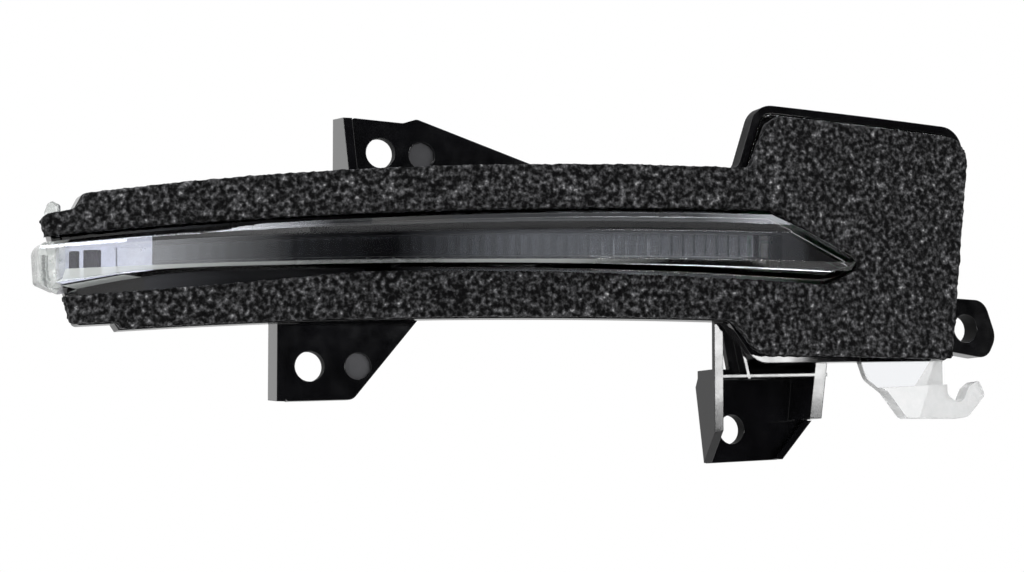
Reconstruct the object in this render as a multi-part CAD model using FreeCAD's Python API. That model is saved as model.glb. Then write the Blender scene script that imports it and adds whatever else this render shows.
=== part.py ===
# Mirror turn signal light: a curved light-guide lamp that screws inside a door mirror.
# Millimetres. +X runs inboard, the lens faces -Y, +Z is up.
# Outlines are drawn in the front view (x, z); depths are measured back from the front of the flange.
import FreeCAD
import Part
import math
import os
from FreeCAD import Vector

# Plan curve of the front, seen from above: a long arc with a tighter arc at the outboard tip
main_radius = 420.0
main_centre_x = 15.0
tip_radius = 160.0
tip_start_x = -30.0
curve_left_x = -105.0
curve_right_x = 125.0

# Depths and walls
foam_thickness = 3.0
lens_flange = 2.0
housing_flange = 2.0
wall = 2.0
rim_width = 1.6
flange_overhang = 2.5
trough_depth = 11.0
box_back_y = 24.0
fit = 0.25

# Front outline: corners are (x, z, radius), and a pair is a point that an arc passes through
tip_top = (-87.2, 12.6, 1.5)
tip_step = (-82.0, 14.0, 0.0)
bar_top_left = (-80.6, 16.8, 1.2)
bar_top_mid = (-17.0, 22.6)
neck_top = (47.2, 24.8, 2.0)
box_top_left = (51.4, 37.9, 4.5)
box_top_right = (99.6, 35.8, 5.0)
box_bottom_right = (95.1, -11.6, 1.5)
box_bottom_left = (51.0, -13.6, 5.0)
neck_bottom = (45.0, -5.5, 2.0)
bar_bottom_mid = (-17.0, -6.7)
bar_bottom_left = (-73.9, -9.4, 0.0)
heel_step = (-74.7, -8.1, 0.0)
tip_bottom = (-81.4, -8.4, 1.0)

# Behind the trough the box is narrower on its outboard side
box_step = 6.8

# Foam gasket: inset on three sides of the box, past the flange at the tip, slot round the lens bar
foam_overhang = 1.4
foam_lip = 1.4
foam_inset_x = 1.7
foam_inset_z = 2.3
slot_gap = 0.5
slot_gape = 2.2
gape_x = (-58.0, -30.0)
slot_nose = 1.2

# Lens bar: three points on each long line of its section, then its ends
lens_wall = 2.0
lens_side_wall = 1.4
bar_reach = 5.0
bar_top_line = ((-78.0, 8.4), (-42.0, 11.5), (51.5, 15.9))
bar_bottom_line = ((-66.0, 0.9), (-3.6, 3.3), (65.8, 2.9))
facet_high_line = ((-67.7, 7.1), (-3.9, 10.5), (53.9, 12.2))
facet_low_line = ((-67.7, 2.5), (-3.9, 4.7), (68.1, 6.6))
bar_tip_x = -89.2
bar_slant_x = 52.6
bar_stations = (-78.0, -66.0, -48.0, -30.0, -5.0, 20.0, 47.0)
bar_nose = (73.4, 6.6, 1.6)
flare_end = (-84.6, -2.4, 1.0)
tip_chamfer = (0.5, 2.0)
tip_solid_x = -85.6
tip_radius_top = 2.4
flare_radius = 5.0
bar_corner = 1.0
bar_draft = 0.1
bar_crown = 0.35
bevel_top_share = 0.6
bevel_bottom_share = 0.4
bevel_top_depth = 3.2
bevel_bottom_depth = 3.6
flute_pitch = 0.9
flute_depth = 0.5
flute_length = 4.4
flute_foot = 0.6

# Clear hook and tab on the lens flange
hook_outline = [
    (72.7, -8.0, 0.0),
    (75.8, -16.0, 3.0),
    (79.8, -18.6, 1.5),
    (84.1, -23.6, 1.5),
    (98.6, -23.2, 3.0),
    (103.0, -18.4, 1.2),
    (101.3, -15.3, 0.8),
    (99.0, -17.0, 0.5),
    (97.2, -20.6, 1.6),
    (93.8, -18.8, 1.6),
    (93.8, -8.0, 0.0),
]
hook_fold_line = ((72.0, -18.2), (93.8, -16.6), (104.0, -14.2))
hook_step = 2.2
tab_outline = [
    (-85.6, 9.0, 0.0),
    (-86.9, 13.4, 0.6),
    (-86.2, 15.7, 0.6),
    (-84.4, 14.6, 0.5),
    (-84.2, 9.0, 0.0),
]

# Light guide, its teeth and its elbow
guide_left_x = -67.4
guide_bend_x = 49.0
guide_margin = 0.8
guide_front_gap = 0.4
guide_thickness = 3.8
guide_bend_radius = 3.0
tooth_pitch = 2.4
tooth_depth = 0.3
tooth_width = 1.2

# Inner bezel and its lugs
bezel_setback = 1.4
bezel_web = 1.6
bezel_back = 5.8
bezel_leg = 1.4
bezel_left_x = -78.3
lug_x = (-50.0, 34.0)
lug_rise = 1.6
lug_radius = 3.0
lug_thickness = 1.6
lug_setback = 4.6

# End reflector
reflector_window = (1.7, 1.8, 0.7, 3.1)
window_low = 0.9
window_high = 0.6
window_depth = 2.6
window_corner = 0.3
facet_x = -74.0
facet_drop = 0.6

# Screw ears
ear_thickness = 2.2
right_ear_thickness = 4.4
ear_hole_radius = 2.9
dimple_radius = 2.6
dimple_depth = 0.8
ear_rib = 1.8
ear_rib_slope = 0.6
ear_rib_shoulder = 2.0
outer_seat_y = 8.0
lower_ear_hole = (-38.0, -15.8)
lower_ear_dimple = (-28.4, -15.6)
lower_ear_outline = [
    (-43.6, -3.4, 0.0),
    (-42.6, -22.6, 0.6),
    (-29.4, -22.0, 2.0),
    (-16.2, -6.0, 0.0),
    (-16.2, -3.4, 0.0),
]
lower_ear_rib_depth = 7.0
upper_ear_hole = (-24.1, 25.8)
upper_ear_dimple = (-15.8, 25.6)
upper_ear_outline = [
    (-29.8, 18.8, 0.0),
    (-29.8, 32.4, 0.5),
    (-19.6, 31.8, 1.5),
    (-16.8, 32.7, 1.5),
    (6.6, 24.8, 0.0),
    (6.6, 19.6, 0.0),
]
upper_ear_rib_depth = 7.5
upper_ear_rib_reach = 4.5

# Inboard ears share one seat plane, turned about Z and measured in its own (u, z)
inner_seat_x = 45.0
inner_seat_y = 8.0
inner_seat_turn = 11.0
bracket_hole = (3.57, -26.3)
bracket_outline = [
    (-2.9, -16.6, 0.0),
    (-1.4, -33.1, 0.6),
    (14.6, -32.0, 1.2),
    (21.6, -24.1, 1.0),
    (21.6, -13.0, 0.0),
    (21.6, -9.6, 0.0),
    (6.0, -9.6, 0.0),
    (6.8, -16.0, 0.0),
]
bracket_front_y = 3.4
bracket_wall = 1.8
bracket_post = 2.4
post_x = (19.3, 20.6)
bracket_reach = 3.0
bracket_neck = 1.4
bracket_lip = 1.5
bracket_fin = 3.0
bracket_root_z = -2.0
shelf_rise = 0.9
shelf_edge = 0.7
stay_top = (-1.4, 0.6)
stay_foot = (1.2, 4.0)
stay_depth = 1.2
right_ear_hole = (60.8, -3.9)
right_ear_outline = [
    (46.0, 2.4, 0.0),
    (65.6, 2.1, 3.5),
    (68.5, -5.4, 4.0),
    (66.2, -9.9, 3.0),
    (46.0, -7.6, 0.0),
]

# Circuit board and what it carries
board_thickness = 1.6
board_margin = 1.2
board_standoff = 4.2
boss_radius = 3.0
board_boss = ((62.5, 28.5), (85.5, -3.0))
screw_radius = 1.25
screw_head_radius = 2.4
screw_head = 1.6
screw_bite = 5.0
lug_screw_bite = 3.0
screw_play = 0.5
edge_break = 0.25
led_size = (3.0, 1.4, 3.4)
led_gap = 0.3
chip_size = (5.0, 1.6, 4.0)
chip_at = (73.0, 6.0)
chip_lead = (0.4, 1.0)
chip_lead_pitch = 1.27
chip_standoff = 0.1
chip_leads_per_side = 4
resistor_size = (2.0, 0.6, 1.25)
resistor_at = (64.0, -3.0)
resistor_pitch = 3.2
resistor_count = 5
capacitor_size = (3.2, 1.4, 1.6)
capacitor_at = (84.0, 2.0)
capacitor_pitch = 4.0
capacitor_count = 3
diode_size = (4.3, 2.2, 2.6)
diode_at = (64.5, 19.0)

# Connector shroud on the back of the box, and its pins
connector_at = (76.0, 19.0)
socket_size = (12.0, 8.0)
socket_depth = 14.0
shroud_wall = 1.8
shroud_corner = 1.6
pin_size = (1.5, 0.8)
pin_pitch = 5.0
pin_reach = 7.0
pin_tail = 1.2
latch_size = (4.0, 1.2, 5.0)
latch_root = 0.5

# Pressure vent on the back of the box
vent_at = (62.0, 2.0)
vent_radius = 4.5
vent_height = 2.4
vent_hole_radius = 1.5
membrane_radius = 3.2
membrane_thickness = 0.4

# Longer than the part in any direction, for cutting tools
far = 90.0
# How far a cutting tool runs on past the face that it cuts
past = 1.0


def plan_arc(x):
    """Centre and radius of the plan arc that x lies on."""
    main_centre = Vector(main_centre_x, main_radius, 0)
    if x >= tip_start_x:
        return main_centre, main_radius
    turn = (main_centre_x - tip_start_x) / main_radius
    back = Vector(turn, math.sqrt(1 - turn * turn), 0)
    return main_centre - back * (main_radius - tip_radius), tip_radius


def plan_normal(x):
    """Unit vector pointing back from the plan curve at x."""
    centre, radius = plan_arc(x)
    turn = (centre.x - x) / radius
    return Vector(turn, math.sqrt(1 - turn * turn), 0)


def plan_point(x, depth=0.0):
    """Point of the plan curve at x, moved back by depth along the normal."""
    centre, radius = plan_arc(x)
    return centre - plan_normal(x) * (radius - depth)


def plan_edges(x_start, x_end, depth):
    """Arcs along the plan curve at one depth, in the direction from x_start to x_end."""
    stops = [x_start, x_end]
    if min(stops) < tip_start_x < max(stops):
        stops.insert(1, tip_start_x)
    edges = []
    for a, b in zip(stops, stops[1:]):
        nudge = 1e-9 if b > a else -1e-9
        ends = plan_point(a + nudge, depth), plan_point(b - nudge, depth)
        edges.append(Part.Arc(ends[0], plan_point((a + b) / 2, depth), ends[1]).toShape())
    return edges


def solid_from_plan(edges):
    """Tall solid from a closed loop of edges in the plan view."""
    face = Part.Face(Part.Wire(Part.__sortEdges__(edges)))
    return face.extrude(Vector(0, 0, 2 * far)).translated(Vector(0, 0, -far))


def slab(front, back):
    """Curved sheet between two depths."""
    ahead = plan_edges(curve_left_x, curve_right_x, front)
    behind = plan_edges(curve_right_x, curve_left_x, back)
    sides = [
        Part.makeLine(plan_point(x, front), plan_point(x, back)) for x in (curve_left_x, curve_right_x)
    ]
    return solid_from_plan(ahead + behind + sides)


def front_face(items):
    """Front-view face from rounded corners and arc points."""
    corners = [i for i, item in enumerate(items) if len(item) == 3]
    edges = []
    for n, i in enumerate(corners):
        j = corners[(n + 1) % len(corners)]
        start, end = (Vector(items[k][0], 0, items[k][1]) for k in (i, j))
        via = (i + 1) % len(items)
        if via == j:
            edges.append(Part.makeLine(start, end))
        else:
            edges.append(Part.Arc(start, Vector(items[via][0], 0, items[via][1]), end).toShape())
    solid = Part.Face(Part.Wire(edges)).extrude(Vector(0, 1, 0))
    for i in corners:
        x, z, radius = items[i]
        if radius > 0:
            solid = solid.makeFillet(radius, [e for e in solid.Edges if stands_at(e, x, z)])
    return next(f for f in solid.Faces if f.BoundBox.YMax < 1e-6)


def stands_at(edge, x, z):
    """True for an edge along Y through one front-view point."""
    return all(abs(v.X - x) + abs(v.Z - z) < 1e-6 for v in edge.Vertexes)


def inset(face, margin):
    return face.makeOffset2D(-margin)


def prism(face, y_front, y_back):
    """Front-view face swept straight back."""
    return face.translated(Vector(0, y_front, 0)).extrude(Vector(0, y_back - y_front, 0))


def layer(face, front, back):
    """Front-view face cut out of the curved sheet between two depths."""
    return prism(face, -far, far).common(slab(front, back))


def behind(face, front, y_back):
    """Front-view face from a depth of the curve back to a flat plane."""
    return prism(face, -far, y_back).common(slab(front, far))


def polygon(points, radius=0.0):
    """Front-view face from plain points."""
    return front_face([(x, z, radius) for x, z in points])


def rectangle(x_low, x_high, z_low, z_high, radius=0.0):
    return polygon([(x_low, z_low), (x_high, z_low), (x_high, z_high), (x_low, z_high)], radius)


def shifted(corner, dx, dz=0.0):
    """Outline corner moved in the front view."""
    return corner[0] + dx, corner[1] + dz, corner[2]


def right_of(x):
    """Everything inboard of x."""
    return prism(rectangle(x, far + abs(x), -far, far), -far, far)


def rod(x, z, radius, y_front, y_back):
    """Round bar along Y."""
    return Part.makeCylinder(radius, y_back - y_front, Vector(x, y_front, z), Vector(0, 1, 0))


def block(x, z, size, y_back):
    """Box of (x, y, z) size, centred in the front view, standing forward of a plane."""
    corner = Vector(x - size[0] / 2, y_back - size[1], z - size[2] / 2)
    return Part.makeBox(*size, corner)


def side_plate(points, x_low, x_high):
    """Plate across X from a (y, z) outline."""
    loop = [Vector(x_low, y, z) for y, z in points]
    return Part.Face(Part.makePolygon(loop + loop[:1])).extrude(Vector(x_high - x_low, 0, 0))


def circle_height(points):
    """Height of the circle through three front-view points, as a function of x."""
    circle = Part.Circle(*[Vector(x, 0, z) for x, z in points])
    centre = circle.Center
    side = 1 if points[1][1] > centre.z else -1
    return lambda x: centre.z + side * math.sqrt(circle.Radius**2 - (x - centre.x) ** 2)


def inclined(shape):
    """Move a shape from the inboard seat plane's own frame into place."""
    turned = shape.copy()
    turned.rotate(Vector(0, 0, 0), Vector(0, 0, 1), inner_seat_turn)
    return turned.translated(Vector(inner_seat_x, inner_seat_y, 0))


def one_solid(shape):
    """The single solid of a result, with split faces joined."""
    solids = shape.removeSplitter().Solids
    return max(solids, key=lambda s: s.Volume)


# Depths that several pieces share
flange_back = lens_flange + housing_flange
cavity_front = lens_wall - bar_reach
guide_front = cavity_front + guide_front_gap
guide_back = guide_front + guide_thickness
bezel_front = cavity_front + bezel_setback
web_front = guide_back + fit
web_back = web_front + bezel_web
box_floor_y = box_back_y - wall
board_back_y = box_floor_y - board_standoff
board_front_y = board_back_y - board_thickness
lug_seat = {x: plan_point(x).y + lug_setback for x in lug_x}
reflector_right_x = plan_point(guide_left_x, guide_front).x - fit

# Front-view curves of the lens bar
bar_top = circle_height(bar_top_line)
bar_arc_bottom = circle_height(bar_bottom_line)
facet_high = circle_height(facet_high_line)
facet_low = circle_height(facet_low_line)
flare_start_x = bar_bottom_line[0][0]


def bar_bottom(x):
    """Lower edge of the bar: an arc that runs into the straight flare of the tip."""
    if x >= flare_start_x:
        return bar_arc_bottom(x)
    start = bar_arc_bottom(flare_start_x)
    return start + (flare_end[1] - start) * (x - flare_start_x) / (flare_end[0] - flare_start_x)


front_items = [
    tip_top, tip_step, bar_top_left, bar_top_mid, neck_top, box_top_left, box_top_right, box_bottom_right,
    box_bottom_left, neck_bottom, bar_bottom_mid, bar_bottom_left, heel_step, tip_bottom,
]
front = front_face(front_items)
box = front_face([
    neck_top, shifted(neck_top, box_step), shifted(box_top_left, box_step), box_top_right, box_bottom_right,
    shifted(box_bottom_left, box_step), shifted(neck_bottom, box_step), neck_bottom,
])
bar_middle_x = (bar_tip_x + bar_slant_x) / 2
bar_end_low = bar_bottom_line[2]
bar = front_face([
    (bar_tip_x, bar_top(bar_tip_x), tip_radius_top),
    (bar_middle_x, bar_top(bar_middle_x)),
    (bar_slant_x, bar_top(bar_slant_x), bar_corner),
    bar_nose,
    (bar_end_low[0], bar_end_low[1], bar_corner),
    bar_bottom_line[1],
    (flare_start_x, bar_arc_bottom(flare_start_x), flare_radius),
    flare_end,
    (bar_tip_x + tip_chamfer[0], flare_end[1] + tip_chamfer[1], flare_end[2]),
])
hook = front_face(hook_outline)
tab = front_face(tab_outline)


def bar_section(x):
    """Closed section of the lens bar at one station, in the plane across the plan curve."""
    top, bottom, high, low = bar_top(x), bar_bottom(x), facet_high(x), facet_low(x)
    points = [
        (lens_flange / 2, top - bar_draft),
        (-bevel_top_depth, top - bar_crown),
        ((-bevel_top_depth - 2 * bar_reach) / 3, top - bevel_top_share * (top - high)),
        (-bar_reach, high),
        (-bar_reach, low),
        (-bevel_bottom_depth, low - bevel_bottom_share * (low - bottom)),
        (lens_flange / 2, bottom + bar_draft),
    ]
    loop = [plan_point(x, depth) + Vector(0, 0, z) for depth, z in points]
    return Part.makePolygon(loop + loop[:1])


def hook_fold():
    """Front-view region below the fold line of the hook."""
    line = list(hook_fold_line)
    return polygon([(line[0][0], -far), *line, (line[-1][0], -far)])


def make_lens():
    stations = [bar_tip_x - bar_reach, *bar_stations, bar_nose[0] + bar_reach]
    skin = Part.makeLoft([bar_section(x) for x in stations], True)
    skin = skin.common(layer(bar, -bar_reach - past, lens_flange))
    plate = layer(inset(front, rim_width + fit), 0, lens_flange)
    tip_back = layer(bar, 0, lens_flange).cut(right_of(tip_solid_x))
    hook_arm = layer(hook, 0, lens_flange)
    hook_foot = layer(hook, -hook_step, lens_flange).common(prism(hook_fold(), -far, far))
    lens = skin.multiFuse([plate, tip_back, hook_arm, hook_foot, layer(tab, 0, lens_flange)])
    hollow = layer(inset(bar, lens_side_wall), cavity_front, lens_flange + past)
    hollow = hollow.common(right_of(tip_solid_x))
    return one_solid(lens.cut(hollow).cut(make_flutes()))


def make_flutes():
    """Upright prism grooves in the back of the solid tip."""
    grooves = []
    x = tip_solid_x - flute_pitch
    while x > bar_tip_x + flute_pitch:
        points = [
            plan_point(x - flute_pitch / 2, lens_flange),
            plan_point(x, lens_flange - flute_depth),
            plan_point(x + flute_pitch / 2, lens_flange),
        ]
        groove = Part.Face(Part.makePolygon(points + points[:1])).extrude(Vector(0, 0, flute_length))
        grooves.append(groove.translated(Vector(0, 0, flute_foot)))
        x -= flute_pitch
    return Part.makeCompound(grooves)


def make_foam():
    moved = {
        tip_top: (-foam_overhang, 0),
        tip_bottom: (-foam_overhang, 0),
        neck_top: (foam_inset_x, 0),
        box_top_left: (foam_inset_x, -foam_inset_z),
        box_top_right: (0, -foam_inset_z),
        box_bottom_left: (0, foam_lip),
    }
    outline = front_face([shifted(item, *moved[item]) if item in moved else item for item in front_items])
    far_left_x = bar_tip_x - flange_back
    slot = front_face([
        (far_left_x, bar_top(bar_tip_x) + slot_gap, 0.0),
        (bar_middle_x, bar_top(bar_middle_x) + slot_gap),
        (bar_slant_x + slot_gap, bar_top(bar_slant_x) + slot_gap, bar_corner),
        (bar_nose[0] + slot_nose, bar_nose[1], bar_nose[2]),
        (bar_end_low[0], bar_end_low[1] - slot_gap, bar_nose[2]),
        (bar_bottom_line[1][0], bar_bottom_line[1][1] - slot_gap),
        (gape_x[1], bar_bottom(gape_x[1]) - slot_gap, 0.0),
        (gape_x[0], bar_bottom(gape_x[0]) - slot_gape),
        (flare_end[0], flare_end[1] - slot_gap, 0.0),
        (far_left_x, flare_end[1] - slot_gap, 0.0),
    ])
    return one_solid(layer(outline, -foam_thickness, 0).cut(layer(slot, -foam_thickness - past, past)))


def band(x_left, x_right, margin):
    """Front-view band between the two facet lines of the bar."""
    middle = (x_left + x_right) / 2
    return front_face([
        (x_left, facet_high(x_left) - margin, 0.0),
        (middle, facet_high(middle) - margin),
        (x_right, facet_high(x_right) - margin, 0.0),
        (x_right, facet_low(x_right) + margin, 0.0),
        (middle, facet_low(middle) + margin),
        (x_left, facet_low(x_left) + margin, 0.0),
    ])


def elbow_centre():
    return plan_point(guide_bend_x, guide_back + guide_bend_radius)


def guide_arm_x():
    """Inner and outer x of the arm that runs back to the LED."""
    inner = elbow_centre().x + guide_bend_radius
    return inner, inner + guide_thickness


def elbow_edge(radius):
    """Quarter turn of the guide, from the plan curve to straight back."""
    centre = elbow_centre()
    start = -plan_normal(guide_bend_x)
    middle = (start + Vector(1, 0, 0)).normalize()
    ends = [centre + way * radius for way in (start, middle, Vector(1, 0, 0))]
    return Part.Arc(*ends).toShape()


def make_light_guide():
    inner_x, outer_x = guide_arm_x()
    end_y = board_front_y - led_size[1] - led_gap
    bend_y = elbow_centre().y
    arm = ((outer_x, bend_y), (outer_x, end_y), (inner_x, end_y), (inner_x, bend_y))
    corners = [Vector(x, y, 0) for x, y in arm]
    edges = plan_edges(guide_left_x, guide_bend_x, guide_front)
    edges += [elbow_edge(guide_bend_radius + guide_thickness), elbow_edge(guide_bend_radius)]
    edges += [Part.makeLine(a, b) for a, b in zip(corners, corners[1:])]
    teeth = int((guide_bend_x - guide_left_x) / tooth_pitch) - 1
    saw = [plan_point(guide_bend_x, guide_back)]
    for i in range(teeth):
        x = guide_bend_x - (i + 1) * tooth_pitch
        saw.append(plan_point(x + tooth_width / 2, guide_back))
        saw.append(plan_point(x, guide_back - tooth_depth))
        saw.append(plan_point(x - tooth_width / 2, guide_back))
    saw += [plan_point(guide_left_x, guide_back), plan_point(guide_left_x, guide_front)]
    edges += [Part.makeLine(a, b) for a, b in zip(saw, saw[1:])]
    height = prism(band(guide_left_x - guide_thickness, outer_x + past, guide_margin), -far, far)
    return one_solid(solid_from_plan(edges).common(height))


def lug_height(x):
    return bar_top(x) + lug_rise


def make_inner_bezel():
    face = inset(bar, lens_side_wall + fit)
    beam = layer(face, bezel_front, bezel_back).common(right_of(bezel_left_x))
    lugs = []
    for x in lug_x:
        seat = lug_seat[x]
        top = lug_height(x)
        pad = rod(x, top, lug_radius, seat, seat + lug_thickness)
        foot = rectangle(x - lug_radius, x + lug_radius, bar_top(x) - lens_side_wall - bezel_leg, top)
        lugs.append(pad.fuse(prism(foot, seat, seat + lug_thickness)))
    bezel = beam.multiFuse(lugs)
    outer_x = guide_arm_x()[1]
    channel = layer(band(guide_left_x - past, outer_x + fit, guide_margin - fit), -bar_reach, web_front)
    pocket = layer(rectangle(bar_tip_x, guide_left_x - fit, -far, far), -bar_reach, web_front)
    back_hollow = layer(inset(face, bezel_leg), web_back, bezel_back + past)
    arm_band = band(guide_bend_x - fit, outer_x + fit, guide_margin - fit)
    arm_hole = behind(arm_band, 0, board_front_y)
    bezel = bezel.cut(channel).cut(pocket).cut(back_hollow).cut(arm_hole)
    for x in lug_x:
        seat = lug_seat[x]
        hole = rod(x, lug_height(x), screw_radius + fit, seat - past, seat + lug_thickness + past)
        bezel = bezel.cut(hole)
    return one_solid(bezel)


def make_end_reflector():
    left_x = tip_solid_x + 3 * fit
    span = prism(rectangle(left_x, reflector_right_x, -far, far), -far, far)
    body = layer(inset(bar, lens_side_wall + fit), guide_front, guide_back).common(span)
    gap, first, rib, second = reflector_window
    x = left_x + gap
    for width in (first, second):
        low = facet_low(x) - window_low
        high = facet_high(x) - window_high
        opening = rectangle(x, x + width, low, high, window_corner)
        window = layer(opening, -bar_reach, guide_front + window_depth)
        body = body.cut(window)
        x += width + rib
    ends = (facet_x, reflector_right_x + past)
    wedge = [plan_point(ends[0], guide_front - past), plan_point(ends[0], guide_front + facet_drop)]
    wedge += [plan_point(ends[1], guide_front), plan_point(ends[1], guide_front - past)]
    slope_top = facet_high(facet_x) - window_high
    slope = Part.Face(Part.makePolygon(wedge + wedge[:1])).extrude(Vector(0, 0, slope_top + far))
    slope.translate(Vector(0, 0, -far))
    return one_solid(body.cut(slope.common(layer(bar, -bar_reach, guide_back))))


def ear_holes(hole, dimple=None):
    """Screw hole and blind dimple of an ear whose seat is the plane y = 0."""
    holes = [rod(hole[0], hole[1], ear_hole_radius, -past, right_ear_thickness + past)]
    if dimple:
        holes.append(rod(dimple[0], dimple[1], dimple_radius, -1, dimple_depth))
    return holes


def outer_ears():
    """Two outboard ears with their side ribs, and the holes to cut in them."""
    seat = Vector(0, outer_seat_y, 0)
    plates = [prism(front_face(o), 0, ear_thickness) for o in (lower_ear_outline, upper_ear_outline)]
    low_x, low_z = lower_ear_outline[1][:2]
    top_z = lower_ear_outline[0][1]
    lower_rib = side_plate(
        [(0, top_z), (0, low_z), (lower_ear_rib_depth, low_z + ear_rib_slope), (lower_ear_rib_depth, top_z)],
        low_x - ear_rib, low_x,
    )
    up_x, up_z = upper_ear_outline[1][:2]
    root_z = upper_ear_outline[0][1]
    upper_rib = side_plate(
        [(0, up_z), (-upper_ear_rib_reach, root_z + ear_rib_shoulder), (-upper_ear_rib_reach, root_z),
         (upper_ear_rib_depth, root_z), (upper_ear_rib_depth, up_z + ear_rib_slope)],
        up_x - ear_rib, up_x,
    )
    solids = plates + [lower_rib, upper_rib]
    holes = ear_holes(lower_ear_hole, lower_ear_dimple) + ear_holes(upper_ear_hole, upper_ear_dimple)
    return [s.translated(seat) for s in solids], [h.translated(seat) for h in holes]


def inner_ears():
    """Ribbed bracket under the box and the ear beside it, on the inclined seat plane."""
    left, shelf_z = bracket_outline[0][:2]
    foot_z = bracket_outline[1][1]
    low_x, low_z = bracket_outline[2][:2]
    right_x, right_z = bracket_outline[3][:2]
    web_x, web_z = bracket_outline[4][:2]
    plate = prism(front_face(bracket_outline), 0, ear_thickness)
    ear = prism(front_face(right_ear_outline), 0, right_ear_thickness)
    step_z = shelf_z + bracket_wall
    front_y = bracket_front_y - inner_seat_y - bracket_wall
    neck_y = front_y + bracket_wall + bracket_neck
    fin = side_plate(
        [(front_y, bracket_root_z), (front_y, right_z), (0, foot_z), (bracket_fin, shelf_z - bracket_neck),
         (bracket_fin / 2, step_z), (neck_y, step_z), (neck_y, bracket_root_z)],
        left, left + bracket_wall,
    )
    post = prism(polygon([
        (post_x[0] - bracket_post, right_z), (post_x[0], right_z),
        (post_x[1], web_z), (post_x[1] - bracket_post, web_z),
    ]), -far, ear_thickness)
    edge = prism(polygon([
        (left, shelf_z), (post_x[1], shelf_z + shelf_rise), (post_x[1], shelf_z + shelf_rise + shelf_edge),
        (left, shelf_z + shelf_edge),
    ]), -far, ear_thickness)
    shelf = prism(polygon([
        (left, shelf_z), (web_x, shelf_z + shelf_rise), (web_x, step_z + shelf_rise), (left, step_z),
    ]), -bracket_reach, ear_thickness)
    lip = prism(polygon([
        (low_x, low_z), (right_x, right_z), (right_x - bracket_wall, right_z), (low_x - bracket_wall, low_z),
    ]), -bracket_lip, ear_thickness)
    stay = prism(polygon([
        (stay_top[0], bracket_root_z), (stay_top[1], bracket_root_z),
        (stay_foot[1], step_z), (stay_foot[0], step_z),
    ]), -bracket_reach, stay_depth - bracket_reach)
    stay_edge = prism(polygon([
        (stay_top[1], bracket_root_z), (stay_top[1] + shelf_edge, bracket_root_z),
        (stay_foot[1] + shelf_edge, shelf_z), (stay_foot[1], shelf_z),
    ]), -far, stay_depth - bracket_reach)
    in_front = Part.makeBox(2 * far, far, 2 * far, Vector(-far, bracket_front_y, -far))
    ribs = [inclined(s).common(in_front) for s in (fin, post, edge, stay_edge)]
    holes = ear_holes(bracket_hole) + ear_holes(right_ear_hole)
    return ribs + [inclined(s) for s in (plate, ear, shelf, lip, stay)], [inclined(h) for h in holes]


def shroud_face(margin):
    """Connector outline, grown by a margin round the socket."""
    x, z = connector_at
    half_x, half_z = socket_size[0] / 2 + margin, socket_size[1] / 2 + margin
    return rectangle(x - half_x, x + half_x, z - half_z, z + half_z, shroud_corner)


def pin_faces(margin):
    x, z = connector_at
    half_x, half_z = pin_size[0] / 2 + margin, pin_size[1] / 2 + margin
    centres = (x - pin_pitch / 2, x + pin_pitch / 2)
    return [rectangle(c - half_x, c + half_x, z - half_z, z + half_z) for c in centres]


def make_housing():
    outer_solids, outer_holes = outer_ears()
    inner_solids, inner_holes = inner_ears()
    trough = layer(inset(front, flange_overhang), lens_flange, trough_depth)
    deep_box = behind(inset(box, flange_overhang), lens_flange, box_back_y)
    body = layer(front, 0, flange_back).multiFuse([trough, deep_box] + outer_solids + inner_solids)
    shroud_end = box_back_y + socket_depth
    latch_x, latch_z = connector_at[0], connector_at[1] + socket_size[1] / 2 + shroud_wall
    latch_y = shroud_end - latch_size[2]
    latch = side_plate(
        [(latch_y, latch_z - latch_root), (latch_y, latch_z + latch_size[1]),
         (shroud_end - latch_root, latch_z), (shroud_end - latch_root, latch_z - latch_root)],
        latch_x - latch_size[0] / 2, latch_x + latch_size[0] / 2,
    )
    body = body.multiFuse([
        prism(shroud_face(shroud_wall), box_floor_y, shroud_end), latch,
        rod(*vent_at, vent_radius, box_floor_y, box_back_y + vent_height),
    ])
    inside = flange_overhang + wall
    body = body.cut(layer(inset(front, rim_width), -1, lens_flange))
    body = body.cut(layer(inset(front, inside), lens_flange / 2, trough_depth - wall))
    body = body.cut(behind(inset(box, inside), lens_flange / 2, box_floor_y))
    for clear_part in (hook, tab):
        body = body.cut(layer(inset(clear_part, -fit), -1, lens_flange))
    gate_left_x = bar_tip_x - flange_back
    tip_gate = rectangle(gate_left_x, bezel_left_x, flare_end[1] - fit, bar_top(bar_tip_x) + 2 * fit)
    body = body.cut(layer(tip_gate, -1, lens_flange))
    body = body.cut(prism(shroud_face(0), box_back_y, shroud_end + past))
    bosses = []
    pilots = outer_holes + inner_holes
    pilots += [prism(f, box_floor_y - past, box_back_y + past) for f in pin_faces(fit / 2)]
    for x, z in board_boss:
        bosses.append(rod(x, z, boss_radius, board_back_y, box_floor_y + wall / 2))
        pilots.append(rod(x, z, screw_radius, board_back_y - past, board_back_y + screw_bite))
    trough_floor = layer(inset(front, flange_overhang), 0, trough_depth - wall / 2)
    for x in lug_x:
        seat = lug_seat[x] + lug_thickness
        bosses.append(rod(x, lug_height(x), lug_radius - fit, seat, far).common(trough_floor))
        pilots.append(rod(x, lug_height(x), screw_radius, seat - past, seat + lug_screw_bite))
    body = body.multiFuse(bosses)
    vent_top = box_back_y + vent_height
    pilots.append(rod(*vent_at, vent_hole_radius, box_floor_y - past, vent_top))
    pilots.append(rod(*vent_at, membrane_radius + fit, vent_top - 2 * membrane_thickness, vent_top + past))
    return one_solid(body.cut(Part.makeCompound(pilots)))


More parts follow.
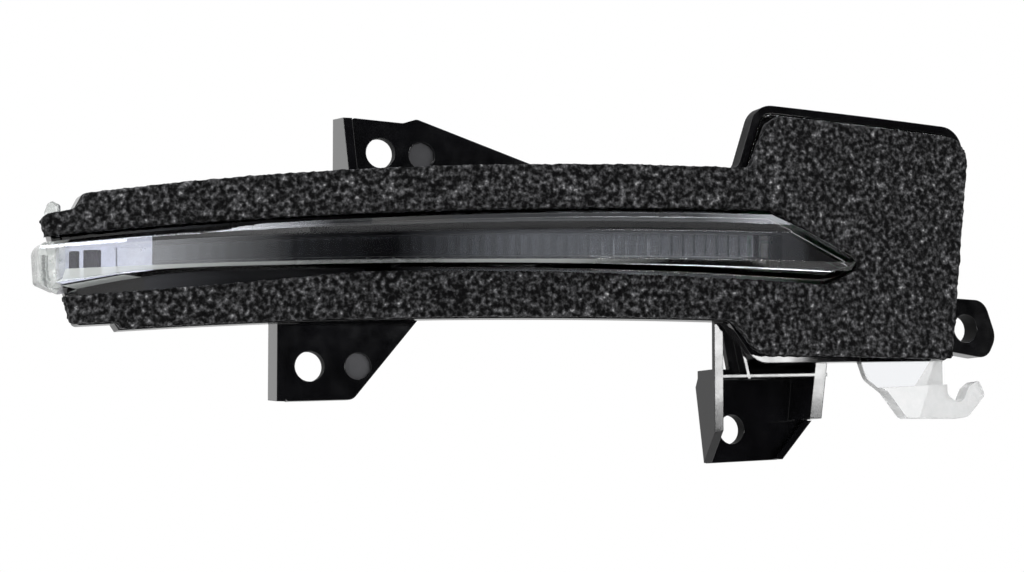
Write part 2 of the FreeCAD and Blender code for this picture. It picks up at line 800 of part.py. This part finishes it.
def make_board():
    outline = inset(box, flange_overhang + wall + board_margin)
    board = prism(outline, board_front_y, board_back_y)
    holes = [rod(x, z, screw_radius + fit, board_front_y - past, board_back_y + past) for x, z in board_boss]
    holes += [prism(f, board_front_y - past, board_back_y + past) for f in pin_faces(fit / 2)]
    return board.cut(Part.makeCompound(holes))


def led_place():
    inner_x, outer_x = guide_arm_x()
    x = (inner_x + outer_x) / 2
    return x, (facet_high(x) + facet_low(x)) / 2


def make_led():
    x, z = led_place()
    body = block(x, z, led_size, board_front_y)
    top = [e for e in body.Edges if e.BoundBox.YMax < board_front_y - led_size[1] + 1e-6]
    return body.makeChamfer(edge_break, top)


def make_chip():
    x, z = chip_at
    body = block(x, z, chip_size, board_front_y - chip_standoff)
    leads = []
    for row in range(chip_leads_per_side):
        lead_x = x + (row - (chip_leads_per_side - 1) / 2) * chip_lead_pitch
        for side in (-1, 1):
            lead_z = z + side * (chip_size[2] + chip_lead[1]) / 2
            leads.append(block(lead_x, lead_z, (chip_lead[0], chip_size[1] / 2, chip_lead[1]), board_front_y))
    return one_solid(body.multiFuse(leads))


def row_of(count, at, pitch, size):
    """Like chips side by side on the board."""
    return [block(at[0] + i * pitch, at[1], size, board_front_y) for i in range(count)]


def make_diode():
    body = block(diode_at[0], diode_at[1], diode_size, board_front_y)
    top = [e for e in body.Edges if e.BoundBox.YMax < board_front_y - diode_size[1] + 1e-6]
    return body.makeChamfer(edge_break, top)


def make_screw(x, z, seat_y, bite):
    """Cheese-head screw that points back, with its head against a seat plane."""
    head = rod(x, z, screw_head_radius, seat_y - screw_head, seat_y)
    return one_solid(head.fuse(rod(x, z, screw_radius - fit / 10, seat_y, seat_y + bite)))


def make_pins():
    pins = []
    for face in pin_faces(0):
        pin = prism(face, board_front_y - pin_tail, box_back_y + pin_reach)
        tip = [e for e in pin.Edges if e.BoundBox.YMin > box_back_y + pin_reach - 1e-6]
        pins.append(pin.makeChamfer(edge_break, tip))
    return pins


board_bite = board_thickness + screw_bite - screw_play
lug_bite = lug_thickness + lug_screw_bite - screw_play
board_screws = [make_screw(x, z, board_front_y, board_bite) for x, z in board_boss]
bezel_screws = [make_screw(x, lug_height(x), lug_seat[x], lug_bite) for x in lug_x]
vent_floor = box_back_y + vent_height - 2 * membrane_thickness
pieces = {
    "housing": [make_housing()],
    "lens": [make_lens()],
    "foam_gasket": [make_foam()],
    "light_guide": [make_light_guide()],
    "inner_bezel": [make_inner_bezel()],
    "end_reflector": [make_end_reflector()],
    "circuit_board": [make_board()],
    "inlet_led": [make_led()],
    "driver_chip": [make_chip()],
    "chip_resistors": row_of(resistor_count, resistor_at, resistor_pitch, resistor_size),
    "chip_capacitors": row_of(capacitor_count, capacitor_at, -capacitor_pitch, capacitor_size),
    "protection_diode": [make_diode()],
    "terminal_pins": make_pins(),
    "board_screws": board_screws,
    "bezel_screws": bezel_screws,
    "vent_membrane": [rod(*vent_at, membrane_radius, vent_floor, vent_floor + membrane_thickness)],
}

# The origin is midway between the two outboard screw holes, on their seat plane
datum = Vector(
    (lower_ear_hole[0] + upper_ear_hole[0]) / 2, outer_seat_y, (lower_ear_hole[1] + upper_ear_hole[1]) / 2
)
os.makedirs("parts", exist_ok=True)
for name, solids in pieces.items():
    placed = [s.translated(datum * -1) for s in solids]
    shape = placed[0] if len(placed) == 1 else Part.makeCompound(placed)
    shape.exportStep(f"parts/{name}.step")
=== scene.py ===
"""Mirror turn signal light: finishes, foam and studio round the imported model."""
import math

import bpy
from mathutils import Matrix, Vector, noise


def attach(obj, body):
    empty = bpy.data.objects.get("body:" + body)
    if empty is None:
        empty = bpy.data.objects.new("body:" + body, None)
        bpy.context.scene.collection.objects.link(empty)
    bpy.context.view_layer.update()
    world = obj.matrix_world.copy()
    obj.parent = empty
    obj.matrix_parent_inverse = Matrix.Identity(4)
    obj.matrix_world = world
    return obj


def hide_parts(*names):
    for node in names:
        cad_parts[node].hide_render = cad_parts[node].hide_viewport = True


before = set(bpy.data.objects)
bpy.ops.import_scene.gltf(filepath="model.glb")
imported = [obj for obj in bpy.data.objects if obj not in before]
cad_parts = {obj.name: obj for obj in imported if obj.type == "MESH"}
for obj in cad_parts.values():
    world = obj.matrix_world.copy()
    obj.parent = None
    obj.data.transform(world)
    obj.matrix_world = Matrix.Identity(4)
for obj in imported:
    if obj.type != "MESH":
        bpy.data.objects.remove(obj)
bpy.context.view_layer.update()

MM = 0.001

# The photograph's camera: it looks at the middle of the lamp, a little from the left and from below
IMAGE_WIDTH_PX = 1024
PX_PER_MM = 5.2
SENSOR_MM = 36.0
LOOK_AT = Vector((31.05, -8.0, -5.0)) * MM
CAMERA_AZIMUTH = -18.0
CAMERA_ELEVATION = -5.5
CAMERA_DISTANCE_MM = 700
CAMERA_CLIP_START = 0.01


def direction(azimuth, elevation):
    """Unit vector from the object towards a viewer at that azimuth and elevation in degrees."""
    turn = math.radians(azimuth)
    rise = math.radians(elevation)
    flat = math.cos(rise)
    return Vector((math.sin(turn) * flat, -math.cos(turn) * flat, math.sin(rise)))


def add_object(name, data):
    obj = bpy.data.objects.new(name, data)
    bpy.context.scene.collection.objects.link(obj)
    return obj


def aim(obj, target):
    obj.rotation_euler = (target - obj.location).to_track_quat("-Z", "Y").to_euler()


def make_camera():
    data = bpy.data.cameras.new("camera")
    data.sensor_width = SENSOR_MM
    data.lens = PX_PER_MM * CAMERA_DISTANCE_MM * SENSOR_MM / IMAGE_WIDTH_PX
    data.clip_start = CAMERA_CLIP_START
    camera = add_object("camera", data)
    camera.location = LOOK_AT + direction(CAMERA_AZIMUTH, CAMERA_ELEVATION) * CAMERA_DISTANCE_MM * MM
    aim(camera, LOOK_AT)
    bpy.context.scene.camera = camera


# Studio, in metres
WORLD_FILL = 0.55
FLOOR_SIZE = 6.0
FLOOR_Z = -0.17
FLOOR_GREY = 0.9
FLOOR_ROUGHNESS = 0.9
TUBE_TINT = (0.95, 0.98, 1.06)


def make_world():
    """White surround: full strength where it is seen or mirrored, softer as a light."""
    world = bpy.data.worlds.new("studio")
    bpy.context.scene.world = world
    world.use_nodes = True
    tree = world.node_tree
    back = tree.nodes["Background"]
    back.inputs["Color"].default_value = (1, 1, 1, 1)
    path = tree.nodes.new("ShaderNodeLightPath")
    seen = path.outputs["Is Camera Ray"]
    for ray in ("Is Glossy Ray", "Is Transmission Ray"):
        both = tree.nodes.new("ShaderNodeMath")
        both.operation = "MAXIMUM"
        tree.links.new(seen, both.inputs[0])
        tree.links.new(path.outputs[ray], both.inputs[1])
        seen = both.outputs[0]
    level = tree.nodes.new("ShaderNodeMapRange")
    level.inputs["To Min"].default_value = WORLD_FILL
    level.inputs["To Max"].default_value = 1.0
    tree.links.new(seen, level.inputs["Value"])
    tree.links.new(level.outputs["Result"], back.inputs["Strength"])


def make_plane(name, width, depth):
    mesh = bpy.data.meshes.new(name)
    x, y = width / 2, depth / 2
    mesh.from_pydata([(-x, -y, 0), (x, -y, 0), (x, y, 0), (-x, y, 0)], [], [(0, 1, 2, 3)])
    return add_object(name, mesh)


def make_floor():
    floor = make_plane("studio_floor", FLOOR_SIZE, FLOOR_SIZE)
    floor.location = (0, 0, FLOOR_Z)
    material, shader = new_material("floor_pale")
    shader.inputs["Base Color"].default_value = (FLOOR_GREY, FLOOR_GREY, FLOOR_GREY, 1)
    shader.inputs["Roughness"].default_value = FLOOR_ROUGHNESS
    floor.data.materials.append(material)


def cool(grey):
    """A grey with the faint blue of studio tubes."""
    return [grey * part for part in TUBE_TINT]


def make_card(name, size, azimuth, elevation, distance, glow, shades, roll=0.0):
    """Card that shows only in gloss and glass, shaded along its own X by (place, grey) steps."""
    card = make_plane(name, *size)
    card.location = LOOK_AT + direction(azimuth, elevation) * distance
    aim(card, LOOK_AT)
    card.rotation_euler.rotate_axis("Z", math.radians(roll))
    material, shader = new_material(name)
    shader.inputs["Base Color"].default_value = (0, 0, 0, 1)
    shader.inputs["Specular IOR Level"].default_value = 0.0
    shader.inputs["Emission Strength"].default_value = glow
    place = add_node(material, "ShaderNodeTexCoord")
    across = add_node(material, "ShaderNodeSeparateXYZ")
    link(material, place.outputs["Generated"], across.inputs["Vector"])
    (start, first), (end, last) = shades[0], shades[-1]
    emission = shader.inputs["Emission Color"]
    ramp = tint(material, across.outputs["X"], cool(first), cool(last), emission, start, end)
    for position, grey in shades[1:-1]:
        ramp.color_ramp.elements.new(position).color = (*cool(grey), 1)
    card.data.materials.append(material)
    card.visible_camera = False
    card.visible_diffuse = False
    card.visible_shadow = False


def make_light(name, azimuth, elevation, distance, size, radiance, in_gloss=True):
    """Soft box of the given radiance."""
    data = bpy.data.lights.new(name, "AREA")
    data.shape = "RECTANGLE"
    data.size, data.size_y = size
    data.energy = radiance * math.pi * size[0] * size[1]
    light = add_object(name, data)
    light.visible_glossy = in_gloss
    light.location = LOOK_AT + direction(azimuth, elevation) * distance
    aim(light, LOOK_AT)


def light_studio():
    """Soft boxes for the light, and cards for what the lens and the gloss black mirror."""
    make_card("front_card", size=(2.8, 3.1), azimuth=10.0, elevation=18.0, distance=1.6, glow=1.0,
              shades=((0.0, 1.0), (0.2, 0.2), (0.45, 0.0)))
    make_card("lens_strip", size=(0.9, 0.05), azimuth=20.0, elevation=6.2, distance=1.5, glow=0.85,
              shades=((0.05, 0.0), (0.35, 1.0), (0.85, 0.8), (1.0, 0.3)))
    make_light("top_softbox", azimuth=62.0, elevation=62.0, distance=1.0, size=(0.5, 0.5),
               radiance=5.0, in_gloss=False)
    make_card("top_card", size=(0.56, 0.5), azimuth=62.0, elevation=62.0, distance=1.0, glow=7.0,
              shades=((0.0, 0.1), (0.44, 0.16), (0.5, 0.6), (0.54, 1.0)))
    make_card("line_card", size=(0.42, 0.06), azimuth=37.0, elevation=56.0, distance=0.9, glow=24.0,
              shades=((0.36, 0.0), (0.55, 0.8), (0.75, 1.0)), roll=-30.0)
    make_card("edge_card", size=(1.1, 0.4), azimuth=0.0, elevation=94.0, distance=1.0, glow=16.0,
              shades=((0.0, 0.06), (0.3, 0.02), (0.48, 0.03), (0.64, 1.0)))
    make_light("left_softbox", azimuth=-75.0, elevation=35.0, distance=1.0, size=(0.4, 0.4), radiance=8.0)
    make_light("edge_strip", azimuth=28.5, elevation=4.1, distance=1.5, size=(0.45, 0.066), radiance=22.0)


# Materials
ACRYLIC_IOR = 1.49
BEVEL_SAMPLES = 6


def new_material(name):
    material = bpy.data.materials.new(name)
    material.use_nodes = True
    return material, shader_of(material)


def shader_of(material):
    return material.node_tree.nodes["Principled BSDF"]


def add_node(material, kind, **values):
    """New node, with sockets and settings given by name."""
    node = material.node_tree.nodes.new(kind)
    for key, value in values.items():
        if key in node.inputs:
            node.inputs[key].default_value = value
        else:
            setattr(node, key, value)
    return node


def link(material, source, target):
    material.node_tree.links.new(source, target)


def noise_node(material, size_mm, detail=3.0):
    """Noise in object space with features of about that size."""
    place = add_node(material, "ShaderNodeTexCoord")
    texture = add_node(material, "ShaderNodeTexNoise", Scale=1 / (size_mm * MM), Detail=detail)
    link(material, place.outputs["Object"], texture.inputs["Vector"])
    return texture.outputs["Fac"]


def vary(material, source, low, high, socket, source_low=0.3, source_high=0.7):
    """Feed a socket from a texture, spread between two values."""
    spread = add_node(material, "ShaderNodeMapRange")
    spread.inputs["From Min"].default_value = source_low
    spread.inputs["From Max"].default_value = source_high
    spread.inputs["To Min"].default_value = low
    spread.inputs["To Max"].default_value = high
    link(material, source, spread.inputs["Value"])
    link(material, spread.outputs["Result"], socket)


def tint(material, source, dark, light, socket, start=0.35, end=0.65):
    """Feed a colour socket from a texture through two colours."""
    ramp = add_node(material, "ShaderNodeValToRGB")
    ramp.color_ramp.elements[0].position = start
    ramp.color_ramp.elements[0].color = (*dark, 1)
    ramp.color_ramp.elements[1].position = end
    ramp.color_ramp.elements[1].color = (*light, 1)
    link(material, source, ramp.inputs["Fac"])
    link(material, ramp.outputs["Color"], socket)
    return ramp


def bump(material, shader, source, height_mm, bevel_mm=0.0):
    """Grain of that height, over edges that are rounded in the shading."""
    node = add_node(material, "ShaderNodeBump")
    node.inputs["Distance"].default_value = height_mm * MM
    node.inputs["Strength"].default_value = 1.0
    link(material, source, node.inputs["Height"])
    if bevel_mm:
        edge = add_node(material, "ShaderNodeBevel", samples=BEVEL_SAMPLES)
        edge.inputs["Radius"].default_value = bevel_mm * MM
        link(material, edge.outputs["Normal"], node.inputs["Normal"])
    link(material, node.outputs["Normal"], shader.inputs["Normal"])


def plastic(name, dark, light, rough, grain_mm, grain_height_mm, bevel_mm=0.0, shine=0.5):
    """Moulded plastic with faint colour drift, uneven gloss and a fine grain."""
    material, shader = new_material(name)
    shader.inputs["Specular IOR Level"].default_value = shine
    tint(material, noise_node(material, size_mm=9.0), dark, light, shader.inputs["Base Color"])
    vary(material, noise_node(material, size_mm=3.0), *rough, shader.inputs["Roughness"])
    bump(material, shader, noise_node(material, grain_mm, detail=2.0), grain_height_mm, bevel_mm)
    return material


def clear_plastic(name, colour, rough, ripple_mm, bevel_mm=0.0, ior=ACRYLIC_IOR):
    """Polished clear moulding with a slight ripple and softened edges."""
    material, shader = new_material(name)
    shader.inputs["Base Color"].default_value = (*colour, 1)
    shader.inputs["Transmission Weight"].default_value = 1.0
    shader.inputs["IOR"].default_value = ior
    vary(material, noise_node(material, size_mm=4.0), *rough, shader.inputs["Roughness"])
    bump(material, shader, noise_node(material, size_mm=6.0, detail=1.0), ripple_mm, bevel_mm)
    return material


def haze(material, stops):
    """Make a clear material milky along X, by (millimetres, clearness) stops."""
    place = add_node(material, "ShaderNodeTexCoord")
    along = add_node(material, "ShaderNodeSeparateXYZ")
    link(material, place.outputs["Object"], along.inputs["Vector"])
    first, last = stops[0][0], stops[-1][0]
    spread = add_node(material, "ShaderNodeMapRange")
    spread.inputs["From Min"].default_value = first * MM
    spread.inputs["From Max"].default_value = last * MM
    link(material, along.outputs["X"], spread.inputs["Value"])
    ends = [[clear] * 3 for x, clear in (stops[0], stops[-1])]
    clearness = shader_of(material).inputs["Transmission Weight"]
    ramp = tint(material, spread.outputs["Result"], *ends, clearness, 0.0, 1.0)
    for x, clear in stops[1:-1]:
        ramp.color_ramp.elements.new((x - first) / (last - first)).color = (clear, clear, clear, 1)


def metal(name, colour, rough, grain_mm, grain_height_mm, tarnish=0.9):
    """Metal that drifts between its colour and a slightly tarnished one."""
    material, shader = new_material(name)
    shader.inputs["Metallic"].default_value = 1.0
    dull = [part * tarnish for part in colour]
    tint(material, noise_node(material, size_mm=2.5), dull, colour, shader.inputs["Base Color"])
    vary(material, noise_node(material, size_mm=1.2), *rough, shader.inputs["Roughness"])
    bump(material, shader, noise_node(material, grain_mm, detail=2.0), grain_height_mm)
    return material


def frosted(name, dark, light, clear, rough, grain_height_mm=0.05):
    """Clear plastic with a milky, mottled surface."""
    material, shader = new_material(name)
    tint(material, noise_node(material, size_mm=1.6), dark, light, shader.inputs["Base Color"])
    shader.inputs["Transmission Weight"].default_value = clear
    shader.inputs["IOR"].default_value = ACRYLIC_IOR
    vary(material, noise_node(material, size_mm=1.0), *rough, shader.inputs["Roughness"])
    bump(material, shader, noise_node(material, size_mm=1.1, detail=2.0), grain_height_mm)
    return material


def paint(node, material):
    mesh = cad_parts[node].data
    mesh.materials.clear()
    mesh.materials.append(material)


def paint_where(node, material, test):
    """Give the faces whose middle in millimetres and normal pass a test a further material."""
    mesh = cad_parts[node].data
    mesh.materials.append(material)
    for face in mesh.polygons:
        if test(face.center / MM, face.normal):
            face.material_index = len(mesh.materials) - 1


# Lens, in millimetres: where its tip, hook and slot are, and the arc that its outboard end is bent to
TIP_X = -53.6
HOOK_X, HOOK_Z = 100.0, -17.2
SLOT_END_X = 15.0
TIP_ARC_CENTRE = Vector((18.19, 153.5, 0))
TIP_ARC_RADIUS = 160.0
BAR_PROUD = 3.0

# Least and greatest parts of a unit normal that tell the lens's faces apart
FLANGE_FORWARD = 0.5
FRONT_FORWARD = 0.6
FRONT_TILT = 0.2
BEVEL_LEAN = 0.3

# Clearness along X: the front is hazy inboard of the reflector; on the lower bevel the milkiness is
# painted light, where the bevel catches the light
FRONT_HAZE = ((-46.0, 0.96), (-41.0, 0.76), (-30.0, 0.87), (-12.0, 1.0))
LOWER_PAINTED_LIGHT = ((-46.0, 0.3), (-34.0, 0.36), (-20.0, 0.6), (-5.0, 0.8), (10.0, 0.8), (24.0, 0.55),
              (40.0, 0.55), (50.0, 0.8), (62.0, 1.0))
POLISHED = (0.0, 0.03)
RIPPLE_MM = 0.004
LENS_EDGE_MM = 0.3
FLANGE_SHINE = 0.03


def proud(middle):
    """How far a point stands in front of the arc that the outboard end is bent to."""
    return (Vector((middle.x, middle.y, 0)) - TIP_ARC_CENTRE).length - TIP_ARC_RADIUS


def on_front_facet(middle, normal):
    """True on the bar's front facet, without the bevels above and below it."""
    return normal.y < -FRONT_FORWARD and abs(normal.z) < FRONT_TILT and proud(middle) > BAR_PROUD


def on_lower_bevel(middle, normal):
    return normal.z < -BEVEL_LEAN and normal.y < -BEVEL_LEAN


def in_slot(middle, normal):
    """True on the flange where it shows in the foam's slot, beside the outboard half of the bar, which is
    painted dark as shade.
    """
    return TIP_X < middle.x < SLOT_END_X and normal.y < -FLANGE_FORWARD and proud(middle) < BAR_PROUD


def on_tip(middle, normal):
    return middle.x < TIP_X


def on_hook(middle, normal):
    return middle.x > HOOK_X and middle.z < HOOK_Z


def finish_lens():
    clear = clear_plastic("lens_clear", (0.985, 0.99, 1.0), POLISHED, RIPPLE_MM, LENS_EDGE_MM)
    paint("lens", clear)
    front = clear_plastic("lens_front", (0.95, 0.97, 1.0), POLISHED, RIPPLE_MM, LENS_EDGE_MM)
    haze(front, FRONT_HAZE)
    paint_where("lens", front, on_front_facet)
    # Painted light: the lower bevel is made milky where it shows a light band, so its pale colour stands
    # in for the light
    lower = clear_plastic("lens_lower_painted_light", (0.9, 0.94, 0.92), (0.02, 0.08), RIPPLE_MM, LENS_EDGE_MM)
    haze(lower, LOWER_PAINTED_LIGHT)
    paint_where("lens", lower, on_lower_bevel)
    # Painted shade: where it shows in the slot, the clear flange is tinted near-black and nearly
    # unreflecting, standing in for the slot's shadow
    flange = clear_plastic("lens_flange_painted_shade", (0.1, 0.1, 0.11), POLISHED, RIPPLE_MM)
    shader_of(flange).inputs["Specular IOR Level"].default_value = FLANGE_SHINE
    paint_where("lens", flange, in_slot)
    milky = frosted("lens_milky", (0.62, 0.65, 0.64), (0.9, 0.92, 0.9), clear=0.75, rough=(0.05, 0.3))
    paint_where("lens", milky, on_tip)
    hazy = frosted("hook_hazy", (0.92, 0.93, 0.93), (0.98, 0.98, 0.98), clear=0.55, rough=(0.1, 0.25))
    paint_where("lens", hazy, on_hook)


# End reflector: its two windows lie behind its front, in millimetres
WINDOW_X = (-52.3, -46.3)
WINDOW_FLOOR = 1.0


def in_window(middle, normal):
    """True behind the front of the reflector's two windows."""
    return WINDOW_X[0] < middle.x < WINDOW_X[1] and proud(middle) < WINDOW_FLOOR


def finish_reflector():
    paint("end_reflector", metal("reflector_metal", (0.72, 0.74, 0.86), (0.16, 0.28),
                                 grain_mm=0.8, grain_height_mm=0.006))
    shade = plastic("window_violet", (0.02, 0.011, 0.055), (0.045, 0.028, 0.1), (0.25, 0.4),
                    grain_mm=0.4, grain_height_mm=0.004)
    paint_where("end_reflector", shade, in_window)


# Housing, in millimetres: (x, z) of the ears' screw holes and ejector marks, and the box's outboard side
EAR_BORES = ((-6.95, -20.8), (6.95, 20.8), (79.5, -31.3), (135.5, -8.9))
BORE_RADIUS = 3.1
BORE_WALL_TILT = 0.3
BOX_SIDE_X = (70.0, 90.0)
BOX_SIDE_Z = 14.0
BOX_SIDE_OUTBOARD = 0.5
DIMPLES = ((15.25, 20.6), (2.65, -20.6))
DIMPLE_RADIUS = 2.5
DIMPLE_BACK_Y = 2.0
DIMPLE_FORWARD = 0.8


def near_axis(middle, axes, radius):
    """True within a radius of one of several axes along Y."""
    return any(math.hypot(middle.x - x, middle.z - z) < radius for x, z in axes)


def in_shade(middle, normal):
    """True on the ear bores and on the outboard side of the deep box, which are left matt."""
    in_bore = near_axis(middle, EAR_BORES, BORE_RADIUS) and abs(normal.y) < BORE_WALL_TILT
    on_side = BOX_SIDE_X[0] < middle.x < BOX_SIDE_X[1] and middle.z > BOX_SIDE_Z
    return in_bore or (on_side and normal.x < -BOX_SIDE_OUTBOARD)


def in_dimple(middle, normal):
    """True on the floors of the round ejector marks beside the outer ears' holes, which are painted grey
    as a reflection.
    """
    faces_front = normal.y < -DIMPLE_FORWARD and middle.y < DIMPLE_BACK_Y
    return faces_front and near_axis(middle, DIMPLES, DIMPLE_RADIUS)


BLACK = ((0.003, 0.003, 0.0035), (0.005, 0.005, 0.006))


def finish_housing():
    paint("housing", plastic("housing_gloss", *BLACK, (0.05, 0.11),
                             grain_mm=0.8, grain_height_mm=0.001, bevel_mm=0.2))
    satin = plastic("housing_satin", *BLACK, (0.5, 0.6), grain_mm=0.3, grain_height_mm=0.002, shine=0.08)
    paint_where("housing", satin, in_shade)
    # Painted reflection: the dimple floors are coloured grey for the light they reflect, over the
    # housing's black
    matt = plastic("dimple_painted_sheen", (0.07, 0.07, 0.076), (0.1, 0.1, 0.108), (0.5, 0.6),
                   grain_mm=0.3, grain_height_mm=0.004)
    paint_where("housing", matt, in_dimple)


def finish_inner_pieces():
    paint("light_guide", clear_plastic("guide_clear", (0.95, 0.97, 1.0), (0.02, 0.08),
                                       ripple_mm=0.006, ior=1.5))
    paint("inner_bezel", plastic("bezel_satin", (0.002, 0.002, 0.0025), (0.004, 0.004, 0.005), (0.3, 0.42),
                                 grain_mm=0.3, grain_height_mm=0.003, shine=0.12))
    finish_reflector()
    paint("circuit_board", plastic("board_mask", (0.01, 0.09, 0.035), (0.016, 0.13, 0.05), (0.25, 0.4),
                                   grain_mm=0.4, grain_height_mm=0.004))
    paint("inlet_led", plastic("led_amber", (0.3, 0.27, 0.2), (0.38, 0.34, 0.25), (0.2, 0.3),
                               grain_mm=0.3, grain_height_mm=0.002))
    chip = plastic("chip_black", (0.016, 0.016, 0.016), (0.03, 0.03, 0.03), (0.45, 0.6),
                   grain_mm=0.15, grain_height_mm=0.004)
    for node in ("driver_chip", "chip_resistors", "protection_diode"):
        paint(node, chip)
    paint("chip_capacitors", plastic("capacitor_tan", (0.4, 0.28, 0.15), (0.52, 0.38, 0.22), (0.4, 0.55),
                                     grain_mm=0.2, grain_height_mm=0.003))
    paint("terminal_pins", metal("pin_tin", (0.74, 0.72, 0.69), (0.22, 0.38),
                                 grain_mm=0.2, grain_height_mm=0.002))
    steel = metal("screw_steel", (0.05, 0.05, 0.055), (0.3, 0.45), grain_mm=0.2, grain_height_mm=0.002)
    for node in ("board_screws", "bezel_screws"):
        paint(node, steel)
    paint("vent_membrane", plastic("membrane_film", (0.7, 0.7, 0.68), (0.82, 0.82, 0.8), (0.7, 0.9),
                                   grain_mm=0.15, grain_height_mm=0.01))


# Foam gasket: voxel and pore sizes in metres, and the shares of the pore depth that noise takes
FOAM_VOXEL = 0.42 * MM
PORE_SIZE = 1.2 * MM
FINE_PORE_SIZE = 0.45 * PORE_SIZE
PORE_DEPTH = 0.38 * MM
PIT_MEAN, PIT_COARSE, PIT_FINE = 0.5, 0.5, 0.25

# Cell colours: (noise, grey) from the pores, painted dark as shade, to the shining walls, painted light as
# glints
CELL_GREYS = ((0.43, 0.005), (0.5, 0.02), (0.57, 0.045), (0.63, 0.08), (0.7, 0.16))
CELL_BLUE = 1.04
FOAM_SHINE = 0.12


def foam_material():
    """Open-cell foam: pores painted dark as shade, grey cell walls, and a few walls painted light as
    glints.
    """
    material, shader = new_material("foam_cells")
    cells = noise_node(material, size_mm=0.95, detail=2.0)
    colour = shader.inputs["Base Color"]
    # The ramp's near-black end is painted shade in the pores; its pale end is painted glints on the walls
    ramp = tint(material, cells, (0.001, 0.001, 0.0012), (0.6, 0.6, 0.6), colour, start=0.36, end=0.82)
    for place, grey in CELL_GREYS:
        ramp.color_ramp.elements.new(place).color = (grey, grey, grey * CELL_BLUE, 1)
    shader.inputs["Specular IOR Level"].default_value = FOAM_SHINE
    walls = noise_node(material, size_mm=0.9, detail=1.0)
    vary(material, walls, 0.9, 0.25, shader.inputs["Roughness"], source_low=0.55, source_high=0.72)
    bump(material, shader, noise_node(material, size_mm=0.6, detail=1.5), height_mm=0.3)
    return material


def make_foam():
    """Foam with real pores: the solid remeshed and eaten in by noise, never past its own faces."""
    pad = add_object("foam_pad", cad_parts["foam_gasket"].data.copy())
    remesh = pad.modifiers.new("cells", "REMESH")
    remesh.mode = "VOXEL"
    remesh.voxel_size = FOAM_VOXEL
    graph = bpy.context.evaluated_depsgraph_get()
    mesh = bpy.data.meshes.new_from_object(pad.evaluated_get(graph))
    pad.modifiers.clear()
    pad.data = mesh
    normals = [vertex.normal.copy() for vertex in mesh.vertices]
    for vertex, normal in zip(mesh.vertices, normals):
        coarse = noise.noise(vertex.co / PORE_SIZE)
        fine = noise.noise(vertex.co / FINE_PORE_SIZE)
        pit = PIT_MEAN + PIT_COARSE * coarse + PIT_FINE * fine
        vertex.co -= normal * PORE_DEPTH * min(max(pit, 0.0), 1.0)
    mesh.shade_smooth()
    mesh.materials.clear()
    mesh.materials.append(foam_material())
    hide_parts("foam_gasket")
    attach(pad, "root")


bpy.context.scene.view_settings.view_transform = "Standard"
make_camera()
make_world()
make_floor()
light_studio()
finish_housing()
finish_lens()
finish_inner_pieces()
make_foam()
